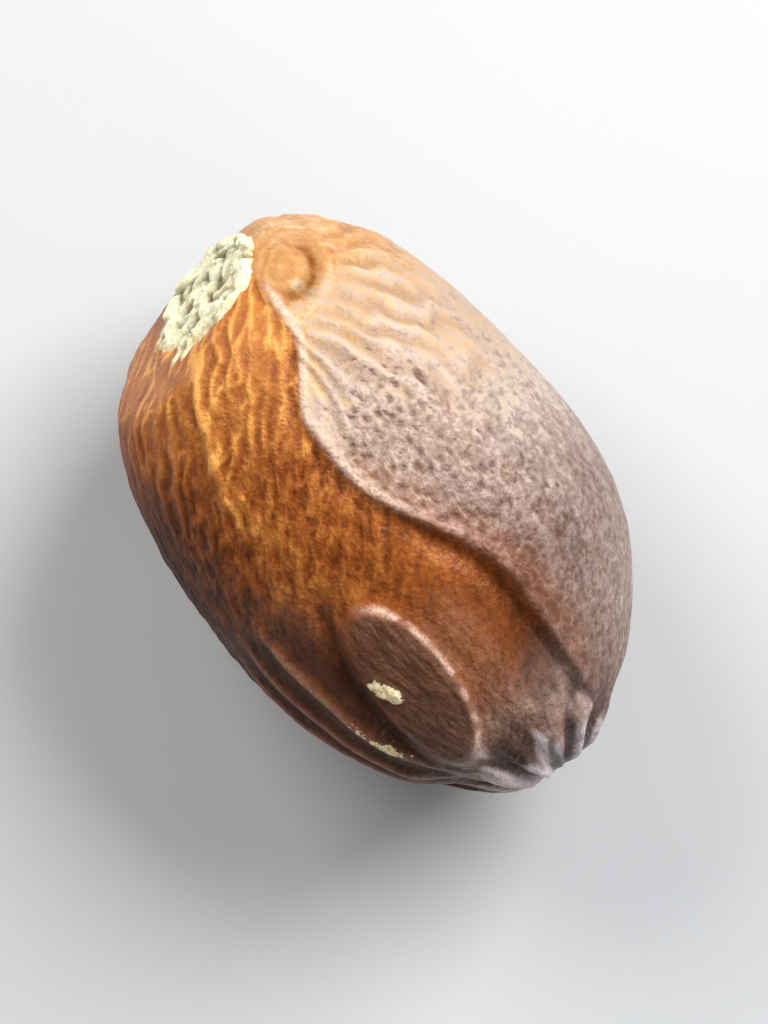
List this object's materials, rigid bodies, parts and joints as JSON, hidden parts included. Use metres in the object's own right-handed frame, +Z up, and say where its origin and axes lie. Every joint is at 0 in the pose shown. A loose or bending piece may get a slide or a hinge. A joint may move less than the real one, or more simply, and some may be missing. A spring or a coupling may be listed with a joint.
{
  "type": "whole nutmeg in its shell",
  "caption": "Whole dried nutmeg in its glossy brown shell: an egg-shaped seed with a pale scar at the base, a raised lobe, an oval boss and lengthwise furrows.",
  "frame": {"origin": "under the middle of the bounding box, on the surface the nutmeg lies on", "axes": "+X from the scar at the base to the apex, +Z up, +Y to the side with the raised lobe"},
  "size_m": [0.0318, 0.0216, 0.0202],
  "materials": {
    "shell": "satin, waxy brown seed shell with a pale corky scar"
  },
  "bodies": {
    "root": {"nutmeg": "shell"}
  },
  "joints": []
}
